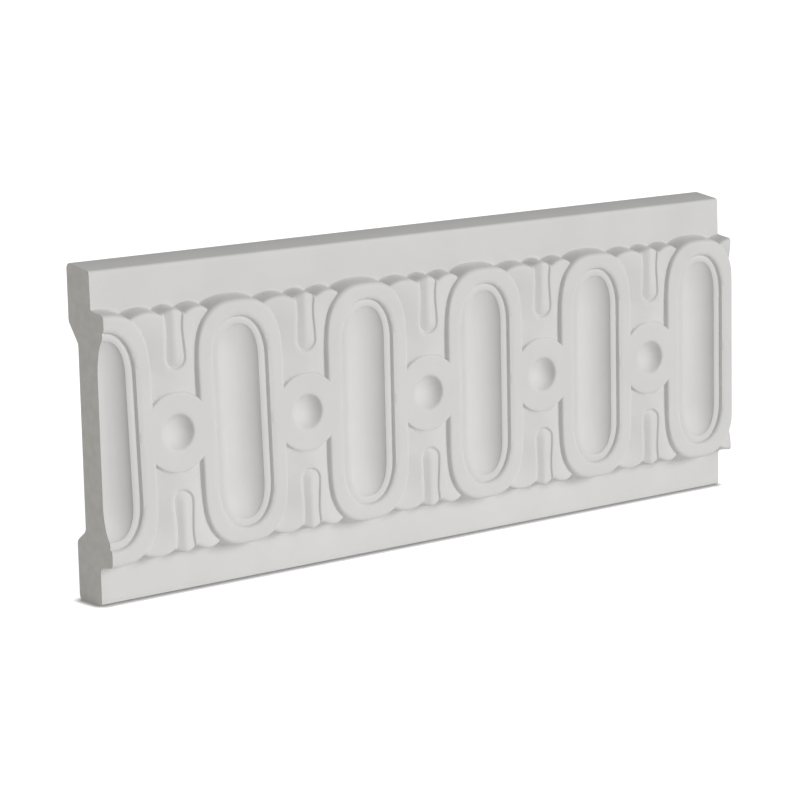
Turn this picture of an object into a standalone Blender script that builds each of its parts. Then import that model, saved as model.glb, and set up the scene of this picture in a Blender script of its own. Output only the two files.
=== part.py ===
# Panel moulding: a length of cast wall moulding, cut square at both ends.
# The relief between its two plain bands repeats a hollowed oval, a small dimpled disc
# and a pair of leaves with a drop-shaped channel.
# Metres. X runs along the moulding, the front faces -Y, +Z is up. The origin is under the
# middle of the moulding as it stands on its lower edge.

import math

import bmesh
import bpy
from mathutils import Vector

MM = 0.001

# Bar: sizes of the plain bar that carries the relief
LENGTH = 253.0 * MM
HEIGHT = 101.4 * MM
TOP_FALL = 1.4 * MM
BAR_DEPTH = 12.2 * MM
FRONT_ROUND = 0.7 * MM
BACK_ROUND = 1.8 * MM
ROUND_STEPS = 3

# Back recess between the two glued strips
LOWER_STRIP = 18.2 * MM
UPPER_STRIP = 17.7 * MM
RECESS_DEPTH = 4.8 * MM
RECESS_LOWER_SLOPE = 3.4 * MM
RECESS_UPPER_SLOPE = 6.3 * MM

# Relief: its axis height, repeat and levels, measured out from the wall
RELIEF_AXIS = 50.0 * MM
RELIEF_LEVEL = 18.9 * MM
REPEAT = 47.5 * MM
FIRST_OVAL = 0.95 * MM
ROOT_SINK = 2.0 * MM

# Oval band: a straight-sided ring with rounded ends, squarer than an ellipse
BAND_HALF_WIDTH = 15.5 * MM
BAND_STRAIGHT = 17.5 * MM
BAND_CAP = 20.0 * MM
BAND_SQUARENESS = 2.7
BAND_DRAFT = 1.5 * MM
BAND_ROUND = 1.1 * MM
OVAL_CAP_STEPS = 11

# Inner opening of the band, the lip inside it and the hollow
OPENING_HALF_WIDTH = 9.7 * MM
OPENING_STRAIGHT = 19.0 * MM
OPENING_CAP = 13.2 * MM
OPENING_SQUARENESS = 2.0
OPENING_DRAFT = 0.5 * MM
LIP_DROP = 1.45 * MM
LIP_WIDTH = 2.0 * MM
HOLLOW_DEPTH = 3.1 * MM
HOLLOW_STEPS = 4

# Disc between two ovals, with its dimple
DISC_RADIUS = 12.1 * MM
DISC_DROP = 0.05 * MM
DISC_ROUND = 0.5 * MM
DISC_SIDES = 40
DIMPLE_RADIUS = 5.5 * MM
DIMPLE_DEPTH = 2.8 * MM
DIMPLE_STEPS = 4

# Leaf: it fills the space between two bands, above or below a disc
LEAF_START = 10.6 * MM
LEAF_TIP = 35.8 * MM
LEAF_TIP_DRAFT = 1.3 * MM
LEAF_SCALLOP = 1.0 * MM
LEAF_CREST_DROP = 0.5 * MM
LEAF_EDGE_DROP = 2.1 * MM
LEAF_TUCK = 0.8 * MM
LEAF_ROWS = 14

# Channel in the leaf: half widths at its drop, its neck and its mouth
CHANNEL_END = 18.3 * MM
CHANNEL_DROP_AT = 21.8 * MM
CHANNEL_DROP = 3.5 * MM
CHANNEL_NECK_AT = 30.5 * MM
CHANNEL_NECK = 2.6 * MM
CHANNEL_MOUTH = 3.6 * MM
CHANNEL_WALL = 0.5 * MM
CHANNEL_DEPTH = 1.3 * MM
STEM_RISE = 1.0 * MM

# Place of the wall's plane, so that the origin is in the middle of the whole depth
WALL_Y = RELIEF_LEVEL / 2

PLASTER_COLOUR = (0.80, 0.79, 0.77, 1.0)
PLASTER_ROUGHNESS = 0.62


def clear_scene():
    for obj in list(bpy.data.objects):
        bpy.data.objects.remove(obj, do_unlink=True)


def collection(name):
    made = bpy.data.collections.new(name)
    bpy.context.scene.collection.children.link(made)
    return made


def plaster():
    """Smooth white cast surface, slightly warm."""
    material = bpy.data.materials.new("cast_white")
    material.use_nodes = True
    shader = material.node_tree.nodes["Principled BSDF"]
    shader.inputs["Base Color"].default_value = PLASTER_COLOUR
    shader.inputs["Roughness"].default_value = PLASTER_ROUGHNESS
    shader.inputs["Metallic"].default_value = 0.0
    return material


def mesh_object(name, bm, home):
    """A new object that holds bm's mesh, in triangles that face out, so that every face is flat."""
    bmesh.ops.triangulate(bm, faces=bm.faces)
    bmesh.ops.recalc_face_normals(bm, faces=bm.faces)
    mesh = bpy.data.meshes.new(name)
    bm.to_mesh(mesh)
    bm.free()
    obj = bpy.data.objects.new(name, mesh)
    home.objects.link(obj)
    return obj


def helper(obj):
    """Marks a shape that only cuts or joins another."""
    obj.hide_render = True
    obj.display_type = "WIRE"
    return obj


def rounded_corner(corner, before, after, radius):
    """Points of the arc that rounds a corner of an outline."""
    corner, before, after = Vector(corner), Vector(before), Vector(after)
    into, out = (before - corner).normalized(), (after - corner).normalized()
    half = into.angle(out) / 2
    centre = corner + (into + out).normalized() * radius / math.sin(half)
    first = corner + into * radius / math.tan(half) - centre
    turn = first.angle_signed(corner + out * radius / math.tan(half) - centre)
    points = []
    for step in range(ROUND_STEPS + 1):
        angle = -turn * step / ROUND_STEPS
        cos, sin = math.cos(angle), math.sin(angle)
        points.append(centre + Vector((first.x * cos - first.y * sin, first.x * sin + first.y * cos)))
    return points


def bar_section():
    """The bar's cross-section as (distance out from the wall, height) points."""
    lower_top = LOWER_STRIP
    upper_bottom = HEIGHT - UPPER_STRIP
    corners = [
        ((0.0, 0.0), BACK_ROUND),
        ((BAR_DEPTH, 0.0), FRONT_ROUND),
        ((BAR_DEPTH, HEIGHT - TOP_FALL), FRONT_ROUND),
        ((0.0, HEIGHT), BACK_ROUND),
        ((0.0, upper_bottom), 0.0),
        ((RECESS_DEPTH, upper_bottom - RECESS_UPPER_SLOPE), 0.0),
        ((RECESS_DEPTH, lower_top + RECESS_LOWER_SLOPE), 0.0),
        ((0.0, lower_top), 0.0),
    ]
    points = []
    for index, (corner, radius) in enumerate(corners):
        if radius > 0:
            before = corners[index - 1][0]
            after = corners[(index + 1) % len(corners)][0]
            points += rounded_corner(corner, before, after, radius)
        else:
            points.append(Vector(corner))
    return points


def plain_bar(home):
    """The bar, extruded along X from its section. It runs past both ends until it is cut to length."""
    curve = bpy.data.curves.new("bar_section", "CURVE")
    curve.dimensions = "2D"
    curve.fill_mode = "BOTH"
    curve.extrude = LENGTH / 2 + REPEAT
    spline = curve.splines.new("POLY")
    section = bar_section()
    spline.points.add(len(section) - 1)
    for point, (out, height) in zip(spline.points, section):
        point.co = (height, out, 0.0, 1.0)
    spline.use_cyclic_u = True
    drawn = bpy.data.objects.new("bar_section", curve)
    home.objects.link(drawn)
    bpy.context.view_layer.update()
    graph = bpy.context.evaluated_depsgraph_get()
    mesh = bpy.data.meshes.new_from_object(drawn.evaluated_get(graph))
    bpy.data.objects.remove(drawn)
    bm = bmesh.new()
    bm.from_mesh(mesh)
    bmesh.ops.remove_doubles(bm, verts=bm.verts, dist=1e-6)
    for vert in bm.verts:
        height, out, along = vert.co
        vert.co = (along, WALL_Y - out, height)
    return mesh_object("panel_moulding", bm, home)


def oval_outline(half_width, straight, cap, squareness):
    """A ring of (x, z) points: two straight sides of half length `straight`, and rounded ends."""
    points = []
    for side in (1, -1):
        for step in range(OVAL_CAP_STEPS + 1):
            cos = math.cos(math.pi * step / OVAL_CAP_STEPS)
            sin = math.sin(math.pi * step / OVAL_CAP_STEPS)
            share = (abs(cos) / half_width) ** squareness + (abs(sin) / cap) ** squareness
            reach = share ** (-1 / squareness)
            points.append((side * reach * cos, side * (straight + reach * sin)))
    return points


def stacked_rings(name, rings, centre_x, home):
    """A solid lofted through rings of matching points, each a list of (x, z) at a level out from the wall."""
    bm = bmesh.new()
    rows = []
    for outline, level in rings:
        rows.append([bm.verts.new((centre_x + x, WALL_Y - level, RELIEF_AXIS + z)) for x, z in outline])
    for lower, upper in zip(rows, rows[1:]):
        for index in range(len(lower)):
            after = (index + 1) % len(lower)
            bm.faces.new((lower[index], lower[after], upper[after], upper[index]))
    bm.faces.new(rows[0][::-1])
    bm.faces.new(rows[-1])
    return mesh_object(name, bm, home)


def oval_band(centre_x, home):
    """One oval: its outer wall, the flat band, the step and lip inside it, and the hollow."""
    shoulder = RELIEF_LEVEL - BAND_ROUND
    foot = BAR_DEPTH - ROOT_SINK * 1.2
    spread = BAND_DRAFT * (shoulder - foot) / (shoulder - BAR_DEPTH)
    edge = BAND_ROUND * (1 - math.cos(math.pi / 4))
    lip_level = RELIEF_LEVEL - LIP_DROP
    rim = OPENING_DRAFT + LIP_WIDTH
    reach = OPENING_HALF_WIDTH - rim

    def outer(inset, level):
        half_width, cap = BAND_HALF_WIDTH - inset, BAND_CAP - inset
        return (oval_outline(half_width, BAND_STRAIGHT, cap, BAND_SQUARENESS), level)

    def inner(inset, level):
        half_width, cap = OPENING_HALF_WIDTH - inset, OPENING_CAP - inset
        return (oval_outline(half_width, OPENING_STRAIGHT, cap, OPENING_SQUARENESS), level)

    rings = [
        outer(-spread, foot),
        outer(0.0, shoulder),
        outer(edge, RELIEF_LEVEL - edge),
        outer(BAND_ROUND, RELIEF_LEVEL),
        inner(0.0, RELIEF_LEVEL),
        inner(OPENING_DRAFT, lip_level),
        inner(rim, lip_level),
    ]
    for step in range(1, HOLLOW_STEPS + 1):
        angle = math.pi / 2 * step / (HOLLOW_STEPS + 0.5)
        rings.append(inner(rim + reach * (1 - math.cos(angle)), lip_level - HOLLOW_DEPTH * math.sin(angle)))
    return stacked_rings("oval_band", rings, centre_x, home)


def disc(centre_x, home):
    """The round boss that joins two ovals, turned from its profile: wall, rounded edge, dimple."""
    foot = BAR_DEPTH - ROOT_SINK * 0.8
    top = RELIEF_LEVEL - DISC_DROP
    ball = (DIMPLE_RADIUS**2 + DIMPLE_DEPTH**2) / (2 * DIMPLE_DEPTH)
    opening = math.asin(DIMPLE_RADIUS / ball)
    profile = [(0.0, foot), (DISC_RADIUS, foot), (DISC_RADIUS, top - DISC_ROUND), (DISC_RADIUS - DISC_ROUND, top)]
    for step in range(DIMPLE_STEPS, -1, -1):
        angle = opening * step / DIMPLE_STEPS
        profile.append((ball * math.sin(angle), top - DIMPLE_DEPTH + ball * (1 - math.cos(angle))))
    bm = bmesh.new()
    verts = [bm.verts.new((centre_x + radius, WALL_Y - level, RELIEF_AXIS)) for radius, level in profile]
    edges = [bm.edges.new(pair) for pair in zip(verts, verts[1:])]
    bmesh.ops.spin(
        bm,
        geom=verts + edges,
        cent=(centre_x, 0.0, RELIEF_AXIS),
        axis=(0.0, 1.0, 0.0),
        angle=2 * math.pi,
        steps=DISC_SIDES,
    )
    bmesh.ops.remove_doubles(bm, verts=bm.verts, dist=1e-6)
    return mesh_object("disc", bm, home)


def smooth_step(value, low, high):
    share = min(1.0, max(0.0, (value - low) / (high - low)))
    return share * share * (3 - 2 * share)


def gap_half_width(rise):
    """Half the space between two bands, at a height `rise` above or below the relief's axis."""
    above = min(1.0, max(0.0, (rise - BAND_STRAIGHT) / BAND_CAP))
    return REPEAT / 2 - BAND_HALF_WIDTH * (1 - above**BAND_SQUARENESS) ** (1 / BAND_SQUARENESS)


def channel_half_width(rise):
    """The channel is a drop at its inner end, narrows to a neck and opens at its mouth."""
    if rise <= CHANNEL_END:
        return 0.0
    if rise < CHANNEL_DROP_AT:
        short = (CHANNEL_DROP_AT - rise) / (CHANNEL_DROP_AT - CHANNEL_END)
        return CHANNEL_DROP * math.sqrt(1 - short * short)
    if rise < CHANNEL_NECK_AT:
        share = smooth_step(rise, CHANNEL_DROP_AT, CHANNEL_NECK_AT)
        return CHANNEL_DROP + (CHANNEL_NECK - CHANNEL_DROP) * share
    share = (rise - CHANNEL_NECK_AT) / (LEAF_TIP - CHANNEL_NECK_AT)
    return CHANNEL_NECK + (CHANNEL_MOUTH - CHANNEL_NECK) * share**2


def leaf_columns(rise):
    """(across, level) of the leaf's face at one height: lobe, channel wall, stem and back out."""
    gap = gap_half_width(rise)
    channel = channel_half_width(rise)
    crest = RELIEF_LEVEL - LEAF_CREST_DROP
    edge = RELIEF_LEVEL - LEAF_EDGE_DROP
    floor_share = min(1.0, channel / CHANNEL_NECK)
    floor = crest - CHANNEL_DEPTH * floor_share
    stem = floor + STEM_RISE * floor_share
    half = [
        (0.0, stem),
        (max(0.0, channel - CHANNEL_WALL), floor),
        (channel, crest),
        (channel + (gap - channel) / 2, crest - (crest - edge) / 4),
        (gap + LEAF_TUCK, edge),
    ]
    return [(-across, level) for across, level in half[:0:-1]] + half


def scallop(across, rise_share, gap):
    """How far the leaf's end reaches past its notches: one arc over each lobe, one over the stem."""
    channel = CHANNEL_MOUTH
    distance = abs(across)
    if distance < channel:
        share = distance / channel
    else:
        share = abs((distance - channel) / (gap - channel) * 2 - 1)
    return LEAF_SCALLOP * (1 - min(1.0, share) ** 2) * rise_share


def leaf(centre_x, side, home):
    """One leaf: a grid laid over its outline, raised to its levels and drawn back into the bar."""
    columns = len(leaf_columns(LEAF_TIP))
    bm = bmesh.new()
    bmesh.ops.create_grid(bm, x_segments=columns - 1, y_segments=LEAF_ROWS, size=1.0)
    for vert in bm.verts:
        column = round((vert.co.x + 1) / 2 * (columns - 1))
        share = (vert.co.y + 1) / 2
        rise = LEAF_START + (LEAF_TIP - LEAF_START) * share
        across, level = leaf_columns(rise)[column]
        rise += scallop(across, smooth_step(share, 0.8, 1.0), gap_half_width(LEAF_TIP))
        vert.co = (centre_x + across, WALL_Y - level, RELIEF_AXIS + side * rise)
    made = bmesh.ops.extrude_face_region(bm, geom=bm.faces[:])
    for vert in (g for g in made["geom"] if isinstance(g, bmesh.types.BMVert)):
        rise = abs(vert.co.z - RELIEF_AXIS)
        vert.co.y = WALL_Y - BAR_DEPTH + ROOT_SINK
        vert.co.z += side * LEAF_TIP_DRAFT * smooth_step(rise, LEAF_TIP * 0.9, LEAF_TIP)
    bmesh.ops.remove_doubles(bm, verts=bm.verts, dist=1e-6)
    return mesh_object("leaf", bm, home)


def end_block(side, home):
    """A block past one end of the moulding: it cuts the bar and the relief off square there."""
    across = 2 * (HEIGHT + RELIEF_LEVEL)
    along = 4 * REPEAT
    bm = bmesh.new()
    bmesh.ops.create_cube(bm, size=1.0)
    bmesh.ops.scale(bm, verts=bm.verts, vec=(along, across, across))
    bmesh.ops.translate(bm, verts=bm.verts, vec=(side * (LENGTH + along) / 2, 0.0, RELIEF_AXIS))
    return mesh_object("end_block", bm, home)


def combine(target, helpers, operation):
    """Joins all of a collection's shapes to the target, or cuts them from it, in one step."""
    for shape in helpers.objects:
        helper(shape)
    modifier = target.modifiers.new(helpers.name, "BOOLEAN")
    modifier.operation = operation
    modifier.solver = "EXACT"
    modifier.operand_type = "COLLECTION"
    modifier.collection = helpers


def oval_centres():
    """The ovals' places along X: the first is near the left end, and they run past the right one."""
    first = -LENGTH / 2 + FIRST_OVAL
    count = math.ceil((LENGTH / 2 - first + BAND_HALF_WIDTH) / REPEAT)
    return [first + REPEAT * number for number in range(count)]


def main():
    clear_scene()
    home = collection("panel_moulding")
    joined = collection("relief_to_join")
    ends = collection("ends_to_cut")
    moulding = plain_bar(home)
    ovals = oval_centres()
    gaps = [x + REPEAT / 2 for x in ovals if x + REPEAT / 2 - DISC_RADIUS < LENGTH / 2]
    for x in gaps:
        leaf(x, 1, joined)
        leaf(x, -1, joined)
        disc(x, joined)
    for x in ovals:
        oval_band(x, joined)
    for side in (1, -1):
        end_block(side, ends)
    combine(moulding, joined, "UNION")
    combine(moulding, ends, "DIFFERENCE")
    moulding.data.materials.append(plaster())
    moulding.data.shade_flat()


main()
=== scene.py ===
"""Panel moulding standing on its lower edge: fine relief, painted surface, studio light."""

import math

import bmesh
import bpy
import numpy as np
from mathutils import Matrix, Vector
from mathutils.geometry import delaunay_2d_cdt


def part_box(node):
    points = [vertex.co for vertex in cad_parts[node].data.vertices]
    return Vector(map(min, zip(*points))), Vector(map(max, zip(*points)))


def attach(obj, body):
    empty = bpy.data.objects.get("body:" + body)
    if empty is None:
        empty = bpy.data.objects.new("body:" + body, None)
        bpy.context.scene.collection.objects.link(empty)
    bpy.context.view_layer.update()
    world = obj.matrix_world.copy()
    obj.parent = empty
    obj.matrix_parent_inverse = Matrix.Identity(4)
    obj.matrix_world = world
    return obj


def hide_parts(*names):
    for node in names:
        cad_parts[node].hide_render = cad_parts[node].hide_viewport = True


MM = 0.001

# Bar, in millimetres: levels are measured out from the wall, heights up from the lower edge
BAR_LEVEL = 12.2
UPPER_BAND_LEAN = 0.2
FULL_HEIGHT = 101.6
TOP_FALL = 1.9
FRONT_ROUND = 1.0
UNDERCUT = (1.7, 0.65)
UNDERCUT_ROUND = 0.25
BACK_ROUND = 1.8
LOWER_STRIP = 18.2
UPPER_STRIP = 17.7
RECESS_DEPTH = 4.8
RECESS_LOWER_SLOPE = 3.4
RECESS_UPPER_SLOPE = 6.3
RECESS_ROUND = 2.0

# Relief: its axis height, its repeat, where its first oval is from the left end, how far it
# reaches from its axis, and the height where the upper plain band begins
RELIEF_AXIS = 50.0
FACE = 18.9
REPEAT = 47.5
FIRST_OVAL = 0.95
HALF = REPEAT / 2
RELIEF_REACH = 40.5
UPPER_BAND_FOOT = 89.7

# Outlines with straight sides and rounded ends:
# half width, half straight length, end height, squareness
BAND = (15.5, 17.5, 20.0, 2.7)
OPENING = (9.75, 19.0, 13.2, 2.15)
HOLLOW = (7.1, 19.0, 10.9, 2.3)

# The carver's hand: the pattern leans a little at the left end
LEAN = 0.027
LEAN_FULL_AT = -79.0
LEAN_GONE_AT = -31.0
LEAN_FADE = 8.0
HALF_HEIGHT = 49.0

# Edges: rounding radius and how steeply the wall below it falls. Along the band they change
# between two distances from the axis
BAND_SIDE_ROUND = 0.85
BAND_END_ROUND = 1.5
BAND_WALL = 2.7
BAND_END_WALL = 7.0
BAND_END_CHANGE = (27.0, 36.0)
OPENING_ROUND = 0.95
OPENING_WALL = 3.5
LIP_DROP = 1.15
LIP_CROWN = 0.22
LIP_WIDTH = 2.4
HOLLOW_DEPTH = 3.05
HOLLOW_POWER = 0.75

# Disc and its dimple
DISC_RADIUS = 12.1
DISC_ROUND = 0.35
DIMPLE_RADIUS = 5.5
DIMPLE_DEPTH = 2.9
DIMPLE_ROUND = 0.8
DIMPLE_SHIFT = (0.8, 0.35)
DIMPLE_REACH = 5.8
DIMPLE_MARGIN = 1.2

# Leaf. Its edge's drop below the face is given near the disc, past the middle and at the tip
CREST_DROP = 0.4
LEAF_LEFT_DROP = (1.1, 1.8, 0.6)
LEAF_RIGHT_DROP = (1.5, 1.4, 1.4)
LEAF_FAR_CHANGE = (13.0, 25.0)
LEAF_TIP_CHANGE = (27.0, 36.0)
LEAF_BULGE = 1.6
LOBE_PLACE = 14.7
LOBE_HALF = 4.7
STEM_HALF = 3.6
SCALLOP_TOP = 36.8
SCALLOP_RISE = 1.25
LEAF_TIP_ROUND = 1.15
LEAF_TIP_WALL = 7.0
UPPER_COVE = 0.5
LOWER_COVE = 1.4
COVE_START = 0.7

# Channel in the leaf, in heights above the axis and half widths: drop, neck and mouth. It is
# shifted off the disc's axis, and the shift fades out towards the band, the disc and the tip
CHANNEL_END = 18.5
CHANNEL_DROP_AT = 21.6
CHANNEL_DROP = 3.15
CHANNEL_NECK_AT = 30.5
CHANNEL_NECK = 2.65
CHANNEL_MOUTH_AT = 38.5
CHANNEL_MOUTH = 4.2
CHANNEL_SHIFT = 1.0
CHANNEL_RISE = 0.5
CHANNEL_RISE_END = (24.0, 32.0)
SHIFT_INNER = 4.4
SHIFT_EDGE = 0.8
SHIFT_START = (12.5, 17.0)
SHIFT_END = (39.0, 46.0)
CHANNEL_LEFT_ROUND = 1.3
CHANNEL_RIGHT_ROUND = 0.55
CHANNEL_LEFT_WALL = 1.1
CHANNEL_RIGHT_WALL = 2.8
STEM_DROP = 0.05
STEM_LEFT_FALL = 1.15
STEM_RIGHT_FALL = 0.55
STEM_POWER = 1.15

# Spacing of the mesh's points
RING_STEP = 0.62
FILL_STEP = 0.95
PLAIN_STEP = 1.9
BORDER_STEPS = 16
CHANNEL_STEP = 0.5
FINE_STEP = 0.1
LATTICE_GAP = 0.45
WELD = 0.03 * MM
SMOOTH_ANGLE = math.radians(38)

# Lines that the mesh follows: distances out from each edge, shares of its rounding, and radii
BAND_ROUND_SHARES = (0.0, 0.3, 0.55, 0.75, 0.9, 1.0)
BAND_LINES = (0.2, 0.42, 0.7, 1.0, 1.5, 2.0)
OPENING_LINES = (0.35, 0.12, 0.0, -0.2, -0.42, -1.4)
HOLLOW_LINES = (0.5, 0.0, -0.08, -0.25, -0.6, -1.1, -1.8, -2.8, -4.0, -5.4)
HOLLOW_FINE_ABOVE = -2
DISC_CIRCLES = (12.6, 12.1, 12.0, 11.75)
DISC_POINTS = 32
DIMPLE_CIRCLES = (6.2, 5.8, 5.5, 5.2, 4.8, 4.2, 3.5, 2.6, 1.7, 0.8)
DIMPLE_DENSITY = 3.4
CHANNEL_LINES = (-0.5, -0.25, 0.0, 0.2, 0.4, 0.65, 1.2)
CHANNEL_LINES_TOP = 38.6
TIP_LINES = (-1.0, -0.6, -0.3, -0.1, 0.15, 0.45, 0.8, 1.1, 1.6, 2.1)
TIP_START = 6.0
TIP_POINTS = 40


def spaced_curve(points, step):
    """Points at even spacing along a smooth curve through the given (x, w) points."""
    points = np.array(points, float)
    run = np.r_[0, np.cumsum(np.hypot(*np.diff(points, axis=0).T))]
    count = max(2, int(round(run[-1] / step)) + 1)
    at = np.linspace(0, run[-1], count)
    return np.c_[np.interp(at, run, points[:, 0]), np.interp(at, run, points[:, 1])]


def end_radius(outline, turn):
    """Distance of an outline's rounded end from the end's centre, at a turn up from the X axis."""
    half, _, end, square = outline
    share = (np.cos(turn) / half) ** square + (np.sin(turn) / end) ** square
    return share ** (-1 / square)


def outline_distance(outline, x, w):
    """How far (x, w) lies outside an outline: negative inside it."""
    half, straight = outline[:2]
    above = np.maximum(w - straight, 0)
    reach = np.hypot(x, above)
    turn = np.arctan2(above, np.maximum(x, 1e-9))
    return np.where(w > straight, reach - end_radius(outline, turn), x - half)


def outline_share(outline, x, w):
    """Where (x, w) is between an outline's middle, 0, and the outline itself, 1."""
    half, straight = outline[:2]
    above = np.maximum(w - straight, 0)
    turn = np.arctan2(above, np.maximum(x, 1e-9))
    return np.where(w > straight, np.hypot(x, above) / end_radius(outline, turn), x / half)


def outline_ring(outline, offset, step):
    """A quarter of an outline from the X axis to the Z axis, moved out by a number or by f(w)."""
    half, straight = outline[:2]
    turn = np.linspace(0, math.pi / 2, 200)
    reach = end_radius(outline, turn)
    radius = reach + (offset(straight + reach * np.sin(turn)) if callable(offset) else offset)
    points = [(half + (offset(0.0) if callable(offset) else offset), 0.0)]
    points += list(zip(radius * np.cos(turn), straight + radius * np.sin(turn)))
    ring = spaced_curve(points, step)
    ring[0, 1] = 0.0
    ring[-1, 0] = 0.0
    return ring


def edge_drop(distance, radius, wall):
    """How far a surface has dropped at a distance past its edge: a round, then a straight wall."""
    lean = math.atan(wall) if np.isscalar(wall) else np.arctan(wall)
    turned = np.clip((distance + radius) / radius, 0, np.sin(lean))
    round_end = radius * (np.sin(lean) - 1)
    return radius * (1 - np.sqrt(1 - turned**2)) + wall * np.maximum(distance - round_end, 0)


def blend(value, low, high):
    """A soft step from 0 at low to 1 at high."""
    share = np.clip((value - low) / (high - low), 0, 1)
    return share * share * (3 - 2 * share)


def band_round(w):
    """The band's edge is rounder at its ends than along its sides."""
    return BAND_SIDE_ROUND + (BAND_END_ROUND - BAND_SIDE_ROUND) * blend(w, *BAND_END_CHANGE)


def band_wall(w):
    """The band's wall is steeper at its ends than along its sides."""
    return BAND_WALL + (BAND_END_WALL - BAND_WALL) * blend(w, *BAND_END_CHANGE)


def band_half(w):
    """Half width of the band's outline at a height."""
    _, straight, end, square = BAND
    share = np.clip((w - straight) / end, 0, 0.999)
    return BAND[0] * (1 - share**square) ** (1 / square)


def channel_half(w):
    """Half width of the channel at a height: a drop, a neck and a mouth, -1 below its round end."""
    short = np.clip((CHANNEL_DROP_AT - w) / (CHANNEL_DROP_AT - CHANNEL_END), 0, 1)
    drop = CHANNEL_DROP * np.sqrt(1 - short**2)
    neck = CHANNEL_DROP + (CHANNEL_NECK - CHANNEL_DROP) * blend(w, CHANNEL_DROP_AT, CHANNEL_NECK_AT)
    open_share = np.clip((w - CHANNEL_NECK_AT) / (CHANNEL_MOUTH_AT - CHANNEL_NECK_AT), 0, 1)
    half = np.where(w < CHANNEL_DROP_AT, drop, neck) + (CHANNEL_MOUTH - CHANNEL_NECK) * open_share**2
    return np.where(w < CHANNEL_END, -1.0, half)


def channel_line():
    """Points along the channel's edge, from its round end on the disc's axis to its mouth."""
    turn = np.linspace(0, math.pi / 2, 60)
    cap_height = CHANNEL_DROP_AT - CHANNEL_END
    cap = np.c_[HALF - CHANNEL_DROP * np.sin(turn), CHANNEL_DROP_AT - cap_height * np.cos(turn)]
    w = np.linspace(CHANNEL_DROP_AT, CHANNEL_MOUTH_AT, 120)[1:]
    return spaced_curve(np.r_[cap, np.c_[HALF - channel_half(w), w]], FINE_STEP)


CHANNEL_LINE = channel_line()


def channel_distance(x, w):
    """How far (x, w) lies outside the channel: negative inside it."""
    far = np.full(x.shape, 1e9)
    for px, pw in CHANNEL_LINE:
        far = np.minimum(far, np.hypot(x - px, w - pw))
    return np.where(HALF - x < channel_half(w), -far, far)


def leaf_tip(x):
    """Height of the leaf's scalloped end: an arc over the lobe and one over the stem."""
    lobe = SCALLOP_TOP - SCALLOP_RISE * ((x - LOBE_PLACE) / LOBE_HALF) ** 2
    stem = SCALLOP_TOP - SCALLOP_RISE * ((x - HALF) / STEM_HALF) ** 2
    return np.maximum(lobe, stem)


def sided(left, right, side, aside):
    """A size that differs left and right of the disc's axis, and is the same on the axis itself."""
    middle = (left + right) / 2
    own = left if side > 0 else right
    return middle + (own - middle) * blend(aside, 0.0, CHANNEL_NECK)


def leaf_level(x, w, side):
    """Level of the leaf with its channel and stem, and how far (x, w) lies past its scalloped end."""
    away = channel_distance(x, w)
    aside = HALF - x
    half = np.maximum(channel_half(w), 0)
    gap = HALF - band_half(w)
    share = np.clip((aside - half) / np.maximum(gap - half, 0.5), 0, 1.3)
    crest = FACE - CREST_DROP
    near, far, end = LEAF_LEFT_DROP if side > 0 else LEAF_RIGHT_DROP
    edge = near + (far - near) * blend(w, *LEAF_FAR_CHANGE) + (end - far) * blend(w, *LEAF_TIP_CHANGE)
    lobe = crest - (edge - CREST_DROP) * share**LEAF_BULGE
    radius = sided(CHANNEL_LEFT_ROUND, CHANNEL_RIGHT_ROUND, side, aside)
    cut = lobe - edge_drop(-away, radius, sided(CHANNEL_LEFT_WALL, CHANNEL_RIGHT_WALL, side, aside))
    inward = np.clip(-away / channel_half(np.maximum(w, CHANNEL_DROP_AT)), 0, 1)
    fall = sided(STEM_LEFT_FALL, STEM_RIGHT_FALL, side, aside)
    stem = crest - STEM_DROP - fall * (1 - inward) ** STEM_POWER
    level = np.where(away < radius, np.maximum(cut, stem), cut)
    tip = leaf_tip(x)
    slope = (leaf_tip(x + 0.01) - leaf_tip(x - 0.01)) / 0.02
    past = (w - tip) / np.sqrt(1 + slope**2)
    return level - edge_drop(past, LEAF_TIP_ROUND, LEAF_TIP_WALL), past


def relief_level(x, w, side, up):
    """Level of the front at (x, w): x from an oval's axis to a disc's, w from the relief's axis."""
    band = FACE - edge_drop(outline_distance(BAND, x, w), band_round(w), band_wall(w))
    from_disc = np.hypot(HALF - x, w)
    disc = FACE - edge_drop(from_disc - DISC_RADIUS, DISC_ROUND, BAND_WALL)
    leaf, past_leaf = leaf_level(x, w, side)
    foot = np.minimum(outline_distance(BAND, x, w), past_leaf) - COVE_START
    radius = UPPER_COVE if up > 0 else LOWER_COVE
    cove = BAR_LEVEL + radius - np.sqrt(radius**2 - np.clip(radius - foot, 0, radius) ** 2)
    level = np.maximum(np.maximum(band, disc), np.maximum(leaf, cove))
    inside = -outline_distance(OPENING, x, w)
    lip = FACE - LIP_DROP
    opening = np.maximum(FACE - edge_drop(inside, OPENING_ROUND, OPENING_WALL), lip)
    rim = outline_distance(HOLLOW, x, w)
    crown = np.clip(np.sin(np.clip(rim, 0, LIP_WIDTH) / LIP_WIDTH * math.pi), 0, 1)
    opening = opening + LIP_CROWN * np.where(opening <= lip, crown, 0)
    reach = outline_share(HOLLOW, x, w)
    bowl = lip - HOLLOW_DEPTH * np.clip(1 - np.clip(reach, 0, 1) ** 2, 0, 1) ** HOLLOW_POWER
    opening = np.where(rim < 0, bowl, opening)
    level = np.where(inside > -OPENING_ROUND, np.minimum(level, opening), level)
    ball = (DIMPLE_RADIUS**2 + DIMPLE_DEPTH**2) / (2 * DIMPLE_DEPTH)
    deep = np.sqrt(np.maximum(ball**2 - from_disc**2, 0)) - (ball - DIMPLE_DEPTH)
    soft = 0.5 * (deep + np.sqrt(deep**2 + DIMPLE_ROUND**2 / 4))
    dimple = np.where(from_disc < DIMPLE_RADIUS + DIMPLE_MARGIN, soft, 0)
    return level - dimple


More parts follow.
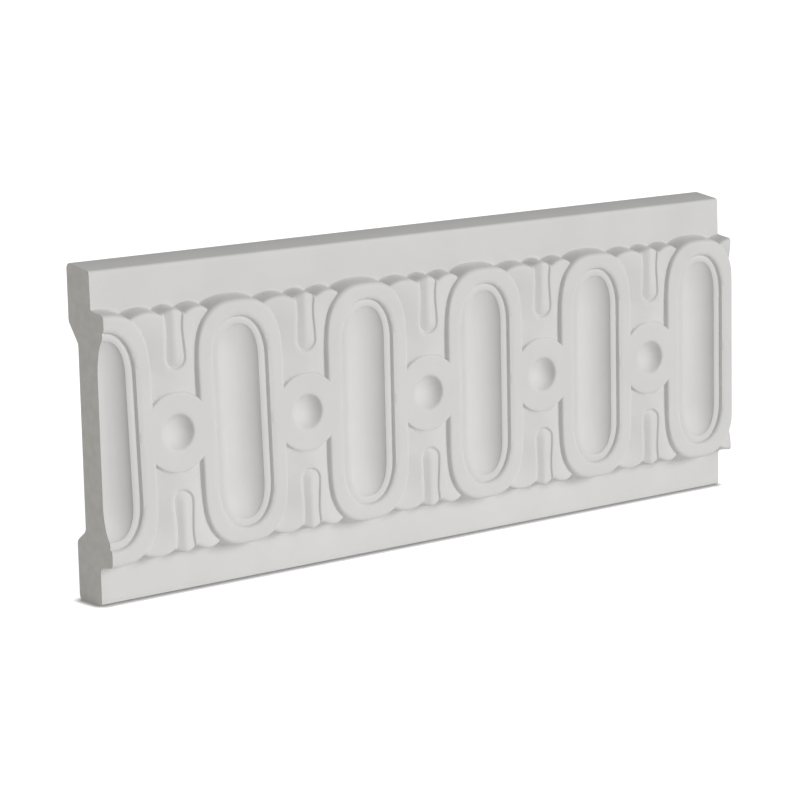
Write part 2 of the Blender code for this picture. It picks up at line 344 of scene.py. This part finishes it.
def disc_circle(radius, count):
    """A quarter of a circle about the disc's centre."""
    turn = np.linspace(0, math.pi / 2, count)
    ring = np.c_[HALF - radius * np.cos(turn), radius * np.sin(turn)]
    ring[0, 1] = 0.0
    ring[-1, 0] = HALF
    return ring


def quarter_points(height):
    """Points and edges that follow every outline, plus a lattice that fills the plain areas."""
    rings = []
    for share in BAND_ROUND_SHARES:
        rings.append(outline_ring(BAND, lambda w, s=share: (s - 1) * band_round(w), RING_STEP))
    for past in BAND_LINES:
        rings.append(outline_ring(BAND, past, RING_STEP))
    for past in OPENING_LINES:
        rings.append(outline_ring(OPENING, past, RING_STEP))
    for past in HOLLOW_LINES:
        rings.append(outline_ring(HOLLOW, past, RING_STEP if past > HOLLOW_FINE_ABOVE else FILL_STEP))
    rings += [disc_circle(radius, DISC_POINTS) for radius in DISC_CIRCLES]
    rings += [disc_circle(radius, max(4, int(radius * DIMPLE_DENSITY))) for radius in DIMPLE_CIRCLES]
    normal = np.gradient(CHANNEL_LINE, axis=0)
    normal = np.c_[normal[:, 1], -normal[:, 0]] / np.hypot(*normal.T)[:, None]
    for past in CHANNEL_LINES:
        line = CHANNEL_LINE - normal * past
        line = line[(line[:, 0] <= HALF) & (line[:, 1] < CHANNEL_LINES_TOP)]
        rings.append(spaced_curve(line, CHANNEL_STEP))
        rings[-1][0, 0] = HALF
    across = np.linspace(TIP_START, HALF, TIP_POINTS)
    for past in TIP_LINES:
        rings.append(np.c_[across, leaf_tip(across) + past])
    points, edges = [], []
    for ring in rings:
        start = len(points)
        points += [tuple(p) for p in ring]
        edges += [(start + i, start + i + 1) for i in range(len(ring) - 1)]
    ringed = np.array(points)
    lattice = []
    rows = int(round(RELIEF_REACH / FILL_STEP))
    for row in range(rows + 1):
        w = RELIEF_REACH * row / rows
        columns = int(round(HALF / FILL_STEP))
        for column in range(columns + 1):
            lattice.append((HALF * column / columns, w))
    plain_rows = int(round((height - RELIEF_REACH) / PLAIN_STEP))
    for row in range(1, plain_rows + 1):
        w = RELIEF_REACH + (height - RELIEF_REACH) * row / plain_rows
        for column in range(BORDER_STEPS + 1):
            lattice.append((HALF * column / BORDER_STEPS, w))
    for x, w in lattice:
        corner = x in (0.0, HALF) and w in (0.0, height)
        near = np.hypot(ringed[:, 0] - x, ringed[:, 1] - w).min()
        if corner or w == height or near > LATTICE_GAP:
            points.append((x, w))
    return points, edges


def quarter_mesh(height):
    """Points and faces of one quarter of the repeat, and its levels for each of its four places."""
    points, edges = quarter_points(height)
    made = delaunay_2d_cdt([Vector(p) for p in points], edges, [], 0, 1e-4)
    verts = np.array([tuple(v) for v in made[0]])
    verts[np.abs(verts[:, 0]) < 1e-4, 0] = 0.0
    verts[np.abs(verts[:, 0] - HALF) < 1e-4, 0] = HALF
    verts[np.abs(verts[:, 1]) < 1e-4, 1] = 0.0
    faces = [tuple(f) for f in made[2]]
    quarters = [(side, up) for side in (1, -1) for up in (1, -1)]
    levels = {quarter: relief_level(verts[:, 0], verts[:, 1], *quarter) for quarter in quarters}
    return verts, levels, faces


def corner_round(corner, before, after, radius, steps):
    """Points of the arc that rounds a corner of an outline."""
    corner, before, after = Vector(corner), Vector(before), Vector(after)
    into, out = (before - corner).normalized(), (after - corner).normalized()
    half = into.angle(out) / 2
    centre = corner + (into + out).normalized() * radius / math.sin(half)
    first = corner + into * radius / math.tan(half) - centre
    turn = first.angle_signed(corner + out * radius / math.tan(half) - centre)
    arc = []
    for step in range(steps + 1):
        angle = -turn * step / steps
        cos, sin = math.cos(angle), math.sin(angle)
        arc.append(centre + Vector((first.x * cos - first.y * sin, first.x * sin + first.y * cos)))
    return arc


def back_section(top):
    """The section behind the relief, from the lower front edge round the back to the upper one."""
    upper = top - UPPER_STRIP
    corners = [
        ((BAR_LEVEL - UPPER_BAND_LEAN, top - TOP_FALL), FRONT_ROUND, 5),
        ((0.0, top), BACK_ROUND, 7),
        ((0.0, upper), RECESS_ROUND, 4),
        ((RECESS_DEPTH, upper - RECESS_UPPER_SLOPE), RECESS_ROUND, 4),
        ((RECESS_DEPTH, LOWER_STRIP + RECESS_LOWER_SLOPE), RECESS_ROUND, 4),
        ((0.0, LOWER_STRIP), RECESS_ROUND, 4),
        ((0.0, 0.0), BACK_ROUND, 7),
        ((BAR_LEVEL - UNDERCUT[0], 0.0), UNDERCUT_ROUND, 3),
        ((BAR_LEVEL, UNDERCUT[1]), UNDERCUT_ROUND, 3),
    ]
    points = []
    for index, (corner, radius, steps) in enumerate(corners):
        before = corners[index - 1][0]
        after = corners[(index + 1) % len(corners)][0]
        points += corner_round(corner, before, after, radius, steps)
    return points


def leaning(x, z):
    """Places along the moulding, with the pattern's lean at the left end."""
    share = 1 - blend(x, LEAN_FULL_AT, LEAN_GONE_AT)
    reach = np.clip((HALF_HEIGHT - np.abs(z - RELIEF_AXIS)) / LEAN_FADE, 0, 1)
    return x + LEAN * (RELIEF_AXIS - z) * share * reach


def carved_aside(x, w):
    """How far the leaf's channel and the dimple's deepest point lie off the disc's axis."""
    aside = HALF - x
    gap = HALF - band_half(w)
    share = 1 - blend(aside, SHIFT_INNER, gap - SHIFT_EDGE)
    share = share * blend(w, *SHIFT_START) * (1 - blend(w, *SHIFT_END))
    hollow = np.clip(1 - np.hypot(aside, w) ** 2 / DIMPLE_REACH**2, 0, 1)
    rise = CHANNEL_RISE * share * (1 - blend(w, *CHANNEL_RISE_END)) + DIMPLE_SHIFT[1] * hollow
    return CHANNEL_SHIFT * share + DIMPLE_SHIFT[0] * hollow, rise


def build_moulding(length, top, wall_y):
    """The piece as one closed mesh: the relief's quarter, mirrored and repeated, and the back."""
    section = back_section(top)
    high, low = section[0][1], section[-1][1]
    full_lean = BAR_LEVEL - section[0][0]
    height = RELIEF_AXIS - low
    verts, levels, faces = quarter_mesh(height)
    across, raised = carved_aside(verts[:, 0], verts[:, 1])
    above = (high - RELIEF_AXIS) / height
    first = -length / 2 + FIRST_OVAL
    count = math.ceil((length / 2 - first + BAND[0]) / REPEAT)
    bm = bmesh.new()
    for number in range(count):
        for side in (1, -1):
            for up in (1, -1):
                stretch = np.maximum(verts[:, 1] - RELIEF_REACH, 0) / (height - RELIEF_REACH)
                rise = verts[:, 1] + (stretch * height * (above - 1) if up > 0 else 0)
                z = RELIEF_AXIS + up * rise
                x = leaning(first + REPEAT * number + side * verts[:, 0] + across, z)
                z = z + raised
                lean = full_lean * np.clip((z - UPPER_BAND_FOOT) / (high - UPPER_BAND_FOOT), 0, 1)
                places = zip(x * MM, wall_y - (levels[side, up] - lean) * MM, z * MM)
                made = [bm.verts.new(place) for place in places]
                for face in faces:
                    corners = [made[i] for i in face]
                    bm.faces.new(corners if side * up > 0 else corners[::-1])
    columns = [-HALF + HALF * i / BORDER_STEPS for i in range(2 * BORDER_STEPS + 1)]
    for number in range(count):
        middle = first + REPEAT * number
        rows = []
        for out, z in section:
            rows.append([bm.verts.new(((middle + c) * MM, wall_y - out * MM, z * MM)) for c in columns])
        for lower, upper in zip(rows, rows[1:]):
            for i in range(len(columns) - 1):
                bm.faces.new((lower[i], upper[i], upper[i + 1], lower[i + 1]))
    bmesh.ops.remove_doubles(bm, verts=bm.verts, dist=WELD)
    for side in (1, -1):
        bmesh.ops.bisect_plane(
            bm,
            geom=bm.verts[:] + bm.edges[:] + bm.faces[:],
            dist=1e-7,
            plane_co=(side * length / 2 * MM, 0, 0),
            plane_no=(side, 0, 0),
            clear_outer=True,
        )
    ends = [e for e in bm.edges if e.is_boundary]
    for side in (1, -1):
        loop = [e for e in ends if e.verts[0].co.x * side > 0 and e.verts[1].co.x * side > 0]
        made = bmesh.ops.triangle_fill(bm, use_beauty=True, use_dissolve=False, edges=loop)
        for face in made["geom"]:
            if isinstance(face, bmesh.types.BMFace):
                face.material_index = 1
    bmesh.ops.recalc_face_normals(bm, faces=bm.faces)
    open_edges = sum(1 for e in bm.edges if not e.is_manifold)
    mesh = bpy.data.meshes.new("moulding_casting")
    bm.to_mesh(mesh)
    bm.free()
    mesh.shade_smooth()
    mesh.set_sharp_from_angle(angle=SMOOTH_ANGLE)
    triangles = sum(len(p.vertices) - 2 for p in mesh.polygons)
    print("casting: triangles", triangles, "open edges", open_edges)
    obj = bpy.data.objects.new("moulding_casting", mesh)
    bpy.context.scene.collection.objects.link(obj)
    return obj


PRIMER_DARK = (0.735, 0.73, 0.715, 1)
PRIMER_LIGHT = (0.765, 0.76, 0.745, 1)
FOAM_DARK = (0.79, 0.765, 0.71, 1)
FOAM_LIGHT = (0.86, 0.84, 0.79, 1)


def material(name):
    """A new material with its nodes, links and shader."""
    made = bpy.data.materials.new(name)
    made.use_nodes = True
    nodes, links = made.node_tree.nodes, made.node_tree.links
    return made, nodes, links, nodes["Principled BSDF"]


def surface_noise(nodes, links, scale, detail):
    """Noise fixed to the piece's own coordinates."""
    place = nodes.new("ShaderNodeTexCoord")
    noise = nodes.new("ShaderNodeTexNoise")
    noise.inputs["Scale"].default_value = scale
    noise.inputs["Detail"].default_value = detail
    links.new(place.outputs["Object"], noise.inputs["Vector"])
    return noise


def tint(nodes, links, noise, dark, light, shader):
    """Base colour that wanders between two tones."""
    ramp = nodes.new("ShaderNodeValToRGB")
    ramp.color_ramp.elements[0].position = 0.3
    ramp.color_ramp.elements[0].color = dark
    ramp.color_ramp.elements[1].position = 0.7
    ramp.color_ramp.elements[1].color = light
    links.new(noise.outputs["Fac"], ramp.inputs["Fac"])
    links.new(ramp.outputs["Color"], shader.inputs["Base Color"])


def bump(nodes, links, noise, strength, distance, shader):
    """Fine roughness of the surface."""
    made = nodes.new("ShaderNodeBump")
    made.inputs["Strength"].default_value = strength
    made.inputs["Distance"].default_value = distance
    links.new(noise.outputs["Fac"], made.inputs["Height"])
    links.new(made.outputs["Normal"], shader.inputs["Normal"])


def primer():
    """Matt white primer, faintly uneven in tone and texture."""
    made, nodes, links, shader = material("white_primer")
    shader.inputs["Roughness"].default_value = 0.62
    tint(nodes, links, surface_noise(nodes, links, 60, 3), PRIMER_DARK, PRIMER_LIGHT, shader)
    bump(nodes, links, surface_noise(nodes, links, 900, 2), 0.12, 0.1 * MM, shader)
    return made


def cut_foam():
    """Sawn end of the casting: bare foam, a little greyer, with fine pores."""
    made, nodes, links, shader = material("sawn_foam")
    shader.inputs["Roughness"].default_value = 0.85
    tint(nodes, links, surface_noise(nodes, links, 350, 4), FOAM_DARK, FOAM_LIGHT, shader)
    bump(nodes, links, surface_noise(nodes, links, 2600, 3), 0.35, 0.2 * MM, shader)
    return made


# Floor: its own tone; its painted glow, which lights the piece in place of bounce light; the brighter
# glow it shows the camera; and the painted contact shadow that darkens that glow near the piece
FLOOR_SIZE = 60.0
FLOOR_TONE = 0.85
FLOOR_PAINTED_GLOW = 0.12
FLOOR_WHITER = 0.8
PAINTED_CONTACT_SHADOW_REACH = 3.0 * MM
PAINTED_CONTACT_SHADOW_POWER = 5.0


def floor():
    """A white sheet that glows though it is no lamp: painted light. It looks whiter to the camera than
    the painted light it throws back on the piece, and its glow is darkened near the piece into a
    painted contact shadow.
    """
    bpy.ops.mesh.primitive_plane_add(size=FLOOR_SIZE, location=(0, 0, 0))
    made = bpy.context.object
    made.name = "studio_floor"
    paper, nodes, links, shader = material("white_paper_painted_glow")
    shader.inputs["Base Color"].default_value = (FLOOR_TONE, FLOOR_TONE, FLOOR_TONE, 1)
    shader.inputs["Roughness"].default_value = 0.9
    shader.inputs["Specular IOR Level"].default_value = 0.0
    shader.inputs["Emission Color"].default_value = (1, 1, 1, 1)
    # Painted light: the sheet's emission lights the piece in place of bounce light, and is stronger for
    # camera rays
    rays = nodes.new("ShaderNodeLightPath")
    glow = nodes.new("ShaderNodeMapRange")
    glow.inputs["To Min"].default_value = FLOOR_PAINTED_GLOW
    glow.inputs["To Max"].default_value = FLOOR_WHITER
    links.new(rays.outputs["Is Camera Ray"], glow.inputs["Value"])
    # Painted shadow: ambient occlusion darkens the emission near the piece into a painted contact
    # shadow
    contact = nodes.new("ShaderNodeAmbientOcclusion")
    contact.inputs["Distance"].default_value = PAINTED_CONTACT_SHADOW_REACH
    deeper = nodes.new("ShaderNodeMath")
    deeper.operation = "POWER"
    deeper.inputs[1].default_value = PAINTED_CONTACT_SHADOW_POWER
    links.new(contact.outputs["AO"], deeper.inputs[0])
    shade = nodes.new("ShaderNodeMath")
    shade.operation = "MULTIPLY"
    links.new(glow.outputs["Result"], shade.inputs[0])
    links.new(deeper.outputs["Value"], shade.inputs[1])
    links.new(shade.outputs["Value"], shader.inputs["Emission Strength"])
    made.data.materials.append(paper)
    return made


def sun(name, toward, strength, spread):
    """Light from a direction, softened by the spread of its source."""
    light = bpy.data.lights.new(name, "SUN")
    light.energy = strength
    light.angle = spread
    obj = bpy.data.objects.new(name, light)
    obj.rotation_euler = Vector(toward).to_track_quat("Z", "Y").to_euler()
    bpy.context.scene.collection.objects.link(obj)
    return obj


def world_light(strength):
    """Even white light from all round."""
    world = bpy.data.worlds.new("studio")
    world.use_nodes = True
    sky = world.node_tree.nodes["Background"]
    sky.inputs["Color"].default_value = (1, 1, 1, 1)
    sky.inputs["Strength"].default_value = strength
    bpy.context.scene.world = world


WORLD_STRENGTH = 0.31
KEY_TOWARD = (0.52, -0.85, 0.28)
KEY_STRENGTH = 1.6
KEY_SPREAD = math.radians(30)

# Camera: turned left of the front and raised, aimed at a point on the wall's plane
CAMERA_TURN = math.radians(38.158)
CAMERA_RAISE = math.radians(10.063)
CAMERA_ROLL = -0.02182
CAMERA_DISTANCE = 943.28 * MM
CAMERA_AIM = (-3.62 * MM, 44.87 * MM)
CAMERA_LENS = 132.31


def camera(wall_y):
    """The scene's camera, at the photograph's viewing angle."""
    data = bpy.data.cameras.new("camera")
    data.lens = CAMERA_LENS
    data.sensor_width = 36.0
    data.clip_start = 0.01
    obj = bpy.data.objects.new("camera", data)
    cos, sin = math.cos(CAMERA_RAISE), math.sin(CAMERA_RAISE)
    back = Vector((-math.sin(CAMERA_TURN) * cos, -math.cos(CAMERA_TURN) * cos, sin))
    aim = Vector((CAMERA_AIM[0], wall_y, CAMERA_AIM[1]))
    right = (-back).cross(Vector((0, 0, 1))).normalized()
    up = right.cross(-back)
    roll = Matrix.Rotation(CAMERA_ROLL, 3, back)
    turned = Matrix((roll @ right, roll @ up, back)).transposed()
    obj.matrix_world = Matrix.Translation(aim + back * CAMERA_DISTANCE) @ turned.to_4x4()
    bpy.context.scene.collection.objects.link(obj)
    bpy.context.scene.camera = obj


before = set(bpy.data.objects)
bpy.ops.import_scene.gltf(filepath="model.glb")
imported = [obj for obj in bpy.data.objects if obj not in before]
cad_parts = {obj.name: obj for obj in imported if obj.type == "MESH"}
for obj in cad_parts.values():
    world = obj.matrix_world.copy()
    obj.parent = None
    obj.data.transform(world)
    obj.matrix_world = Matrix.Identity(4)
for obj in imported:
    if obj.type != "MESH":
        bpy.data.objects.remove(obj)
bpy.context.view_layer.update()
low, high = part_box("panel_moulding")
length = (high.x - low.x) / MM
piece = build_moulding(length, FULL_HEIGHT, high.y)
piece.data.materials.append(primer())
piece.data.materials.append(cut_foam())
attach(piece, "root")
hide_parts("panel_moulding")
floor()
world_light(WORLD_STRENGTH)
sun("key", KEY_TOWARD, KEY_STRENGTH, KEY_SPREAD)
bpy.context.scene.view_settings.view_transform = "Standard"
camera(high.y)
